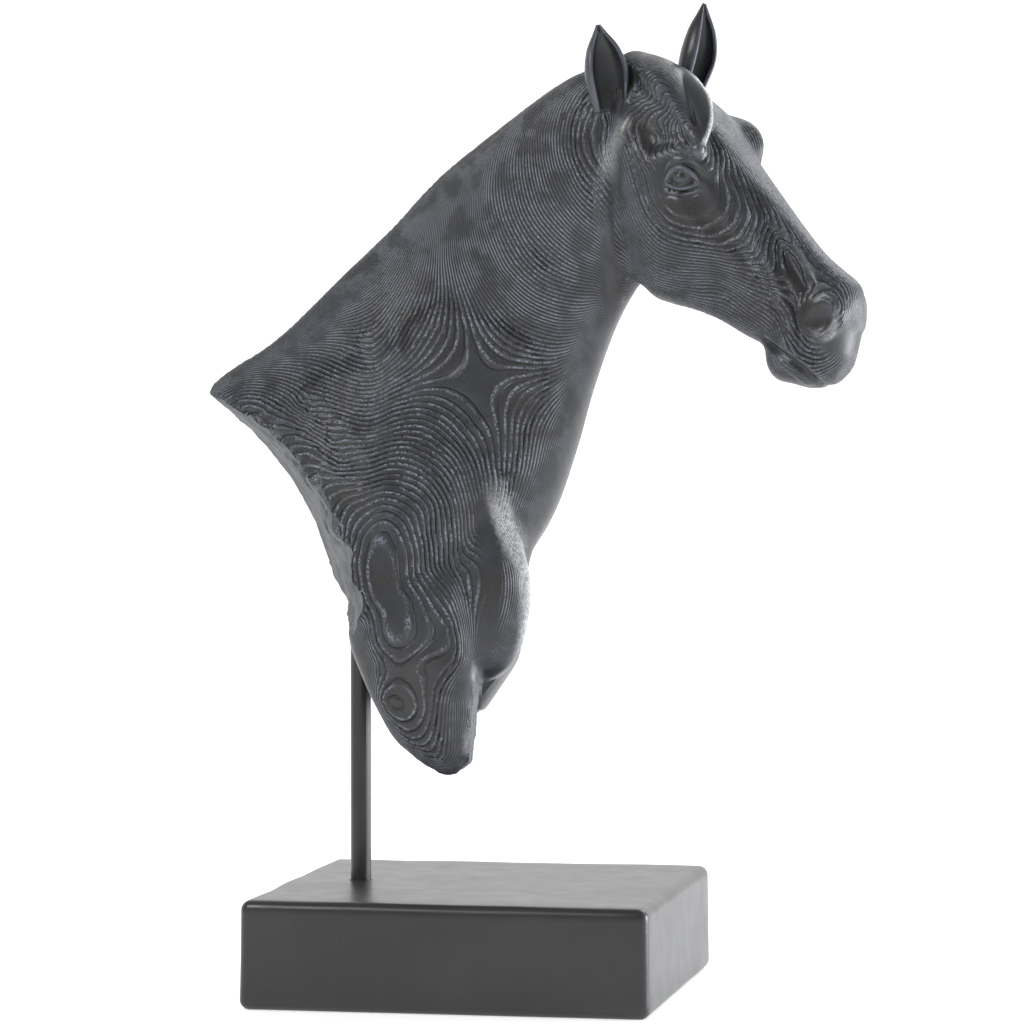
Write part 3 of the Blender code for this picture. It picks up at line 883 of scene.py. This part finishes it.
def give_slots(item, kinds):
    """Adds the bust's material slots; kinds is one number for all faces or one for each."""
    for material in (RESIN, RESIN, CUT_RESIN):
        item.data.materials.append(material)
    numbers = np.full(len(item.data.polygons), kinds, np.int32)
    item.data.polygons.foreach_set("material_index", numbers)


def upright_bar(place, low, high, radius, top_radius=None):
    """A closed round bar around an x and y, between two heights."""
    mesh = bmesh.new()
    bmesh.ops.create_cone(
        mesh,
        cap_ends=True,
        segments=48,
        radius1=radius,
        radius2=top_radius or radius,
        depth=high - low,
        matrix=Matrix.Translation((*place, (low + high) / 2)),
    )
    return mesh_object(mesh)


def ear(foot, tip, opening):
    """A curled leaf with round edges, open towards one side."""
    foot, tip, opening = (np.array(value, float) for value in (foot, tip, opening))
    axis = tip - foot
    along = axis / np.linalg.norm(axis)
    front = opening - along * opening.dot(along)
    front /= np.linalg.norm(front)
    across = np.cross(along, front)
    turn = np.linspace(-math.radians(118), math.radians(118), 45)
    rings = []
    for share, width in smooth_rows(EAR_SHAPE, 44):
        half, depth = EAR_HALF_WIDTH * width, EAR_DEPTH * width
        wall = min(EAR_WALL, 0.6 * half)
        outer = np.outer(half * np.sin(turn), across) - np.outer(depth * np.cos(turn), front)
        inward = np.outer((half - wall) * np.sin(turn), across)
        inner = inward - np.outer((depth - wall) * np.cos(turn), front)
        bow = front * EAR_BOW * math.sin(math.pi * share)
        rims = [(outer[k] + inner[k]) / 2 + (outer[k] - outer[j]) * 0.45 for k, j in ((-1, -3), (0, 2))]
        loop = np.vstack([outer, rims[:1], inner[::-1], rims[1:]])
        rings.append(foot + axis * share + bow + loop)
    return tube(rings)


def leaf_of_forelock():
    """The smooth pointed leaf of hair that lies over the brow."""
    rows = smooth_rows(FORELOCK_LEAF, 44)
    left, right = rows[:, :3], rows[:, 3:6]
    middle = (left + right) / 2
    out = np.cross(np.gradient(middle, axis=0), right - left)
    out /= np.linalg.norm(out, axis=1, keepdims=True)
    turn = np.linspace(0, math.pi, 19)[:, None]
    rings = []
    for k, (rise, depth) in enumerate(rows[:, 6:]):
        face = middle[k] + (right[k] - left[k]) / 2 * np.cos(turn) + out[k] * rise * np.sin(turn) ** 0.6
        foot = np.array((left[k] - out[k] * depth, right[k] - out[k] * depth))
        rings.append(from_head(np.vstack([face, foot])))
    return tube(rings)


def drum_radius(turn, across):
    """Radius of the hollow's surface: rough, and ragged along the near rim."""
    x, z = np.cos(turn) * SCOOP_RADIUS, np.sin(turn) * SCOOP_RADIUS
    here = np.column_stack([x, np.full(len(turn), across), z])
    radius = SCOOP_RADIUS + 0.7 * noise_at(here, 9, 1.0) + 0.35 * noise_at(here, 2.6, 5.0)
    near = float(ramp(-42, -76, across))
    high = SCOOP_Z + z
    rim = -2.5 * bell(high, 135, 14) - 5.0 * bell(high, 115, 7) - 6.0 * bell(high, 92, 15)
    rim -= 11.5 * ramp(86, 60, high)
    rim += 3.0 * ramp(0.1, 0.45, noise_at(here, 5, 11.0)) * ramp(104, 112, high)
    return radius + near * (rim + 1.3 * noise_at(here, 6, 7.0))


def drum():
    """The sector of a rough drum that hollows the body behind the shoulder."""
    turn = np.radians(np.arange(-10, 85.1, 0.6))
    rings = []
    for y in np.arange(-126, 33, 1.7):
        radius = drum_radius(turn, y)
        x = np.append(np.cos(turn) * radius, 0)
        z = np.append(np.sin(turn) * radius, 0)
        cos, sin = math.cos(SCOOP_YAW), math.sin(SCOOP_YAW)
        ring = (SCOOP_X + x * cos - y * sin, x * sin + y * cos, SCOOP_Z + z)
        rings.append(np.column_stack(ring))
    return tube(rings)


def front_break():
    """The rough cutter that leaves the near shoulder's front flat and sharp."""
    rings = []
    for y in np.arange(-62, -13, 1.6):
        z = np.arange(-8, 43, 1.6)
        here = np.column_stack([np.full(len(z), 60.0), np.full(len(z), y), z])
        x = 56.5 + 4.2 * np.clip(z / 44, 0, 1) ** 0.7 + 0.6 * noise_at(here, 5, 2.0)
        x += 0.3 * noise_at(here, 2, 6.0)
        ring = np.column_stack([np.append(x, (90, 90)), np.append(z, (52, -8))])
        rings.append(np.insert(ring, 1, y, axis=1))
    return tube(rings)


def bust_skin():
    """Points and triangles of the modelled bust, fine where the face needs it."""
    forms = masses()
    fine_points, fine_faces = skin(forms, FINE_VOXEL, 6)
    points, faces = skin(forms, COARSE_VOXEL, 5)
    bpy.data.objects.remove(forms, do_unlink=True)
    for _ in range(3):
        points, faces = split_long_edges(points, faces, wanted_length)
    tree = BVHTree.FromPolygons(fine_points.tolist(), fine_faces.tolist())
    points = np.array([tree.find_nearest(point)[0] for point in points.tolist()])
    points = relaxed(points, edges_of(faces)[0], 1, 0.4)
    head = model_surface(to_head(points), HEAD_MODELLING)
    middle, reach, push = NEAR_BROW
    points = from_head(head + falloff(head, middle, reach)[:, None] * push)
    points = model_surface(points, CHEST_MODELLING)
    return points + vertex_normals(points, faces) * relief_at(points)[:, None], faces


def with_ears_and_cuts(points, faces):
    """The bust with its ears and leaf, the hollow behind the shoulder and the rod's socket."""
    item = plain_object("bust", points, faces, BODY)
    for leaf in (ear(*NEAR_EAR), ear(*FAR_EAR), leaf_of_forelock()):
        give_slots(leaf, EAR)
        cut_or_join(item, leaf, "UNION")
    high = (ROD_TOP - BUST_FOOT + SOCKET_GAP) / UNIT
    socket = upright_bar((0, 0), -20, high, ROD_RADIUS / UNIT + SOCKET_GAP / UNIT)
    for cutter in (drum(), front_break(), socket):
        give_slots(cutter, CUT)
        cut_or_join(item, cutter, "DIFFERENCE")
    points, faces = points_and_triangles(item)
    owner = read(item.data.loop_triangles, "polygon_index", np.int32)
    kinds = read(item.data.polygons, "material_index", np.int32)[owner]
    bpy.data.objects.remove(item, do_unlink=True)
    return points, faces, kinds


def blended_ears(points, faces, kinds):
    """Points with the crease at the foot of each ear softened."""
    seam = points[points_of(faces, kinds == EAR, len(points)) & points_of(faces, kinds == BODY, len(points))]
    tree = KDTree(len(seam))
    for number, point in enumerate(seam.tolist()):
        tree.insert(point, number)
    tree.balance()
    poll_height, reach, rounds = 285, 4.5, 14
    weight = np.zeros(len(points))
    for number in np.where(points[:, 2] > poll_height)[0].tolist():
        weight[number] = 0.5 * max(0, 1 - tree.find(points[number])[2] / reach)
    return relaxed(points, edges_of(faces)[0], rounds, weight)


def points_of(faces, chosen, count):
    """Which points some of the triangles use."""
    found = np.zeros(count, bool)
    found[faces[chosen]] = True
    return found


def line_spacing(points, faces, value):
    """How far apart the contour lines lie, on each triangle and at each point."""
    p0, p1, p2, across = corners_of(points, faces)
    area = np.maximum(np.linalg.norm(across, axis=1), 1e-9)
    unit = across / area[:, None]
    f0, f1, f2 = (value[faces[:, k], None] for k in range(3))
    slope = np.cross(unit, p2 - p1) * f0 + np.cross(unit, p0 - p2) * f1 + np.cross(unit, p1 - p0) * f2
    spacing = np.minimum(area / np.maximum(np.linalg.norm(slope, axis=1), 1e-6), 8)
    weight, total = (at_points(faces, part, len(points)) for part in (area, area * spacing))
    return spacing, total / np.maximum(weight, 1e-9)


def contour_carved(points, faces, kinds):
    """The surface cut into low terraces along its contour lines, with what its materials read."""
    normals = vertex_normals(points, faces)
    body_only = points_of(faces, kinds == BODY, len(points))
    share = face_share(points)
    relief = np.where(body_only, relief_at(points), 0)
    value = ring_value(points - normals * relief[:, None])
    value = relaxed(value[:, None], edges_of(faces)[0], 4)[:, 0]
    spacing, gap = line_spacing(points, faces, value)
    gap = np.where(body_only, gap, 0)
    shown = line_strength(points) * (1 - share * ramp(5.0, 8.0, gap))
    marks = np.column_stack([
        gap,
        np.clip(shown, 0, 1),
        np.where(body_only, painted_shade_and_pupil_share(points), 0),
        bend_at(points, faces, normals),
        share,
        painted_highlight_share(points),
    ])
    wanted = (spacing > CUT_SPACING) & (kinds == BODY) & (marks[faces, 1].max(axis=1) > 0.05)
    whole = np.arange(math.floor(value.min()), math.ceil(value.max()) + 1)
    levels = np.sort(np.concatenate([whole + GROOVE_AT, whole + CREST_AT]))
    data = np.column_stack([points, normals, marks])
    data, faces, value, source = slice_by(data, faces, value, levels, wanted)
    points, normals, marks = data[:, :3], data[:, 3:6], data[:, 6:]
    share = np.mod(value - GROOVE_AT, 1.0)
    falling = 1 - (share - RISING_SHARE) / (1 - RISING_SHARE) * 2
    saw = np.where(share < RISING_SHARE, -1 + share / RISING_SHARE * 2, falling)
    depth = TERRACE_DEPTH * ramp(1.1, 2.4, marks[:, 0]) * marks[:, 1]
    facing = np.where(normals @ VIEW >= 0, 1, -1)
    points = points + normals * (saw * depth * facing)[:, None]
    return points, faces, kinds[source], value, marks


def node_makers(tree):
    """Short ways to add nodes to a tree. Each value is a plain value or another node's output."""

    def feed(socket, value):
        if isinstance(value, bpy.types.NodeSocket):
            tree.links.new(value, socket)
        else:
            socket.default_value = (*value, 1) if isinstance(value, tuple) else value

    def add(kind, **values):
        node = tree.nodes.new(kind)
        for key, value in values.items():
            if hasattr(node, key):
                setattr(node, key, value)
            else:
                feed(node.inputs[key], value)
        return node

    def math_of(operation, *values):
        node = add("ShaderNodeMath", operation=operation)
        for socket, value in zip(node.inputs, values):
            feed(socket, value)
        return node.outputs[0]

    def soft(value, low, high, start=0.0, end=1.0):
        limits = {"From Min": low, "From Max": high, "To Min": start, "To Max": end}
        node = add("ShaderNodeMapRange", interpolation_type="SMOOTHSTEP", Value=value, **limits)
        return node.outputs[0]

    return feed, add, math_of, soft


def material_makers(name):
    """A new material's makers of nodes, the last of which fills in its shader and returns it."""
    material = bpy.data.materials.new(name)
    material.use_nodes = True
    feed, add, math_of, soft = node_makers(material.node_tree)
    place = add("ShaderNodeTexCoord").outputs["Object"]

    def times(product, *others):
        for other in others:
            product = math_of("MULTIPLY", product, other)
        return product

    def blend(share, first, second):
        node = add("ShaderNodeMix", data_type="RGBA")
        for number, value in ((0, share), (6, first), (7, second)):
            feed(node.inputs[number], value)
        return node.outputs[2]

    def lumps(size, detail=2.0, rough=0.5, warp=0.0):
        kind = {"Scale": 1 / size, "Detail": detail, "Roughness": rough, "Distortion": warp}
        return add("ShaderNodeTexNoise", Vector=place, **kind).outputs[0]

    def bump(height, strength, distance, **after):
        return add("ShaderNodeBump", Height=height, Strength=strength, Distance=distance, **after).outputs[0]

    def finished(**values):
        for name, value in values.items():
            feed(material.node_tree.nodes["Principled BSDF"].inputs[name.replace("_", " ")], value)
        return material

    return add, math_of, times, soft, blend, lumps, bump, finished


def resin():
    """Charcoal cast resin: layer lines, painted shade in the grooves and hollows, and pale edges and crests
    that are painted highlight, in part dry-brushed paint.
    """
    add, math_of, times, soft, blend, lumps, bump, finished = material_makers("charcoal_resin")
    ring, gap, lines, hollow, bend, face, worn = (
        add("ShaderNodeAttribute", attribute_name=name).outputs["Fac"] for name in MARKS
    )
    share = math_of("FRACT", math_of("ADD", ring, -GROOVE_AT))
    reach = math_of("DIVIDE", gap, soft(gap, 0.7, 3.0, 0.42, 1.25))
    from_crest = times(math_of("ABSOLUTE", math_of("SUBTRACT", share, 0.31)), reach)
    from_groove = times(math_of("MINIMUM", share, math_of("SUBTRACT", 1.0, share)), reach)
    carved = times(soft(gap, 0.42, 0.82), lines)
    groove = times(soft(from_groove, 0.55, 0.05), carved)
    beads = math_of("MAXIMUM", soft(lumps(0.0011, 2.5, 0.65), 0.40, 0.60), soft(gap, 2.2, 1.2, 0.0, 0.8))
    fading = soft(lumps(0.012, 2.5, 0.55), 0.38, 0.62, 0.15, 1.0)
    # pale marks on the layer crests: partly dry-brushed paint, partly painted highlight
    crest_specks_and_sheen = times(soft(from_crest, 0.75, 0.15), carved, beads, fading)
    crest_specks_and_sheen = times(crest_specks_and_sheen, soft(face, 0.2, 0.8, 1.0, 0.7), soft(gap, 0.7, 1.6, 0.55, 1.0))
    grain = lumps(0.0007, 3.0, 0.65)
    cloud = soft(lumps(0.030, 3.0, 0.55, 0.4), 0.38, 0.66)
    streaks = soft(lumps(0.0016, 4.0, 0.7, 1.5), 0.36, 0.60, 0.25, 1.0)
    # painted shade: concave places, the nostril, the mouth and the deep grooves are darkened; the pupil is
    # darker too
    painted_shade_and_pupil = math_of("MAXIMUM", hollow, soft(bend, -0.05, -0.28, 0.0, 0.45))
    colour = (0.021, 0.021, 0.022)
    for cover, paint in (
        (cloud, (0.033, 0.036, 0.045)),
        (times(soft(grain, 0.50, 0.78), 0.35), (0.09, 0.096, 0.11)),
        # convex edges lightened to pale blue-grey: partly dry-brushed paint, partly painted highlight
        (times(soft(bend, 0.05, 0.30), 0.45), (0.13, 0.145, 0.185)),
        # painted shade: the contour grooves are darkened almost to black
        (times(groove, 0.85), (0.006, 0.006, 0.007)),
        # painted highlight on the crests, partly dry-brushed paint
        (times(crest_specks_and_sheen, 0.9), (0.235, 0.255, 0.31)),
        # painted highlight: the bright edges are lightened almost to white, broken by streaks
        (times(worn, streaks), (0.60, 0.61, 0.62)),
        # the contour grooves stay darker through the painted highlight
        (times(worn, groove, 0.7), (0.05, 0.052, 0.056)),
        # painted shade in the hollows, and the darker pupil
        (times(painted_shade_and_pupil, 0.75), (0.010, 0.010, 0.011)),
    ):
        colour = blend(cover, colour, paint)
    rough = math_of("ADD", 0.27, times(lumps(0.004, 2.0, 0.5), 0.14))
    rough = math_of("ADD", rough, times(crest_specks_and_sheen, 0.2))
    normal = bump(math_of("SUBTRACT", crest_specks_and_sheen, groove), 0.6, 0.0004, Normal=bump(grain, 0.28, 0.0002))
    return finished(Base_Color=colour, Roughness=rough, IOR=1.5, Normal=normal)


def cut_resin():
    """The rough, paler resin of the hollow behind the shoulder."""
    *_, soft, blend, lumps, bump, finished = material_makers("cut_resin")
    grain = lumps(0.0009, 3.0, 0.65)
    cloud = soft(lumps(0.014, 3.0, 0.6, 0.6), 0.35, 0.68)
    colour = blend(cloud, (0.055, 0.058, 0.066), (0.11, 0.115, 0.125))
    colour = blend(soft(grain, 0.5, 0.75, 0.0, 0.5), colour, (0.26, 0.27, 0.285))
    return finished(Base_Color=colour, Roughness=0.62, Normal=bump(grain, 0.6, 0.0004))


def satin_black(name, dark, light):
    """Black satin paint with faint dust, a slightly wavy film and a few specks."""
    *_, math_of, times, soft, blend, lumps, bump, finished = material_makers(name)
    colour = blend(soft(lumps(0.05, 3.0, 0.55, 0.3), 0.35, 0.7), dark, light)
    colour = blend(times(soft(lumps(0.0011, 2.0, 0.5), 0.745, 0.80), 0.35), colour, (0.16, 0.16, 0.165))
    film = math_of("ADD", 0.28, times(lumps(0.012, 2.0, 0.5), 0.10))
    wave = bump(lumps(0.018, 2.0, 0.4), 0.25, 0.0004)
    normal = bump(lumps(0.0012, 2.0, 0.5), 0.12, 0.00015, Normal=wave)
    return finished(Base_Color=colour, Roughness=film, IOR=1.5, Normal=normal)


def soft_block():
    """The painted block: soft edges, a slightly uneven film and a bead of paint around the rod."""
    mesh = bmesh.new()
    at = Matrix.Translation((0, 0, BLOCK[2] / 2)) @ Matrix.Diagonal((*BLOCK, 1))
    bmesh.ops.create_cube(mesh, size=1, matrix=at)
    bmesh.ops.bevel(mesh, geom=mesh.edges[:], offset=BLOCK_ROUND, segments=6, profile=0.5, affect="EDGES")
    long_edges = [edge for edge in mesh.edges if edge.calc_length() > 0.02]
    bmesh.ops.subdivide_edges(mesh, edges=long_edges, cuts=18, use_grid_fill=True)
    sag, taper, waver = 0.0004, 0.0008, 0.0003
    for corner in mesh.verts:
        x, y, z = corner.co
        high = z / BLOCK[2]
        uneven = 1 + noise.noise(Vector((x, y, z)) * 28)
        corner.co.z -= sag * high * uneven
        corner.co.x -= math.copysign(taper * high + waver * uneven, x)
        corner.co.y -= math.copysign(taper * high + waver * uneven, y)
    block = mesh_object(mesh, "soft_block")
    top = BLOCK[2] - 0.0006
    bead = upright_bar(ROD, top - 0.0009, top + 0.0006, *BEAD_RADII)
    cut_or_join(block, bead, "UNION")
    hole = upright_bar(ROD, BLOCK[2] - BLOCK_SOCKET, 2 * BLOCK[2], ROD_RADIUS + SOCKET_GAP)
    cut_or_join(block, hole, "DIFFERENCE")
    return block


def add_camera():
    """The photograph's camera."""
    yaw, pitch, lens = math.radians(10.77), math.radians(1.61), 158.2
    distance, aside, height = 2.0835, 0.01374, 0.2797
    camera = placed("camera", bpy.data.cameras.new("camera"))
    camera.data.lens = lens
    right = Vector((math.cos(yaw), math.sin(yaw), 0))
    forward = Vector((-math.sin(yaw), math.cos(yaw), 0))
    camera.location = aside * right - distance * forward + Vector((0, 0, height))
    camera.rotation_euler = (math.radians(90) - pitch, 0, yaw)
    bpy.context.scene.camera = camera


def add_light(name, place, size, power, colour=(1, 1, 1)):
    """A large soft light that faces the middle of the bust."""
    data = bpy.data.lights.new(name, "AREA")
    data.shape, data.size, data.energy, data.color = "DISK", size, power, colour
    light = placed(name, data)
    light.location = place
    light.rotation_euler = (Vector((0, 0, 0.25)) - Vector(place)).to_track_quat("-Z", "Y").to_euler()


def add_studio():
    """A white sweep, light that is brighter behind the object than before it, and soft lamps."""
    mesh = bmesh.new()
    bmesh.ops.create_grid(mesh, x_segments=1, y_segments=1, size=12)
    floor = mesh_object(mesh, "studio_floor")
    *_, finished = material_makers("white_floor")
    white = (1, 1, 1)
    floor.data.materials.append(
        finished(Base_Color=(0.93, 0.93, 0.93), Roughness=0.7, Emission_Color=white, Emission_Strength=0.5)
    )
    floor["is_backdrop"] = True
    world = bpy.data.worlds.new("studio")
    world.use_nodes = True
    feed, add, math_of, soft = node_makers(world.node_tree)
    split = add("ShaderNodeSeparateXYZ", Vector=add("ShaderNodeTexCoord").outputs["Generated"])
    turned = 0
    for axis, share in zip("XYZ", (0.32, 0.88, -0.5)):
        turned = math_of("MULTIPLY_ADD", split.outputs[axis], share, turned)
    to_camera = add("ShaderNodeLightPath").outputs["Is Camera Ray"]
    background = world.node_tree.nodes["Background"]
    feed(background.inputs["Color"], white)
    feed(background.inputs["Strength"], math_of("MAXIMUM", soft(turned, -0.6, 0.5, 0.335, 1.33), to_camera))
    bpy.context.scene.world = world
    bpy.context.scene.view_settings.view_transform = "Standard"
    add_light("key", (-0.9, -1.4, 1.5), 0.7, 19)
    add_light("side_right", (1.5, 0.5, 0.2), 0.8, 28, (0.92, 0.95, 1.0))
    add_light("back_top", (0.7, 1.3, 1.5), 1.1, 9, (0.94, 0.96, 1.0))
    add_light("side_left", (-1.6, 0.5, 0.8), 1.0, 2, (0.88, 0.93, 1.0))


RESIN, CUT_RESIN = resin(), cut_resin()
add_camera()
points, faces, kinds = with_ears_and_cuts(*bust_skin())
points = blended_ears(points, faces, kinds)
points, faces, kinds, value, marks = contour_carved(points, faces, kinds)
place = points * UNIT + (ROD[0], ROD[1], BUST_FOOT)
for sign, limit in ((-1, cad_box[0][0]), (1, cad_box[1][0])):
    over = np.maximum(sign * (place[:, 0] - limit) + END_GUARD, 0)
    place[:, 0] -= sign * (over - END_GUARD * np.tanh(over / END_GUARD))
bust = plain_object("carved_bust", place, faces, kinds)
for name, numbers in zip(MARKS, (value, *marks.T)):
    layer = bust.data.attributes.new(name, "FLOAT", "POINT")
    layer.data.foreach_set("value", numbers.astype(np.float32))
bust.data.validate()
bust.data.shade_smooth()
bust.data.set_sharp_from_angle(angle=math.radians(60))
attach(bust, "root")
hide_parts("horse_bust")
block = soft_block()
paint = satin_black("satin_black_block", (0.021, 0.021, 0.0225), (0.026, 0.026, 0.0275))
block.data.materials.append(paint)
block.data.shade_smooth()
block.data.set_sharp_from_angle(angle=math.radians(40))
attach(block, "root")
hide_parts("base_block")
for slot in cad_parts["support_rod"].material_slots:
    slot.material = satin_black("satin_black_rod", (0.018, 0.018, 0.020), (0.026, 0.026, 0.028))
add_studio()
boxes = {"cad": cad_box, "visual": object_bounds()}
{name: [list(corner) for corner in box] for name, box in boxes.items()}
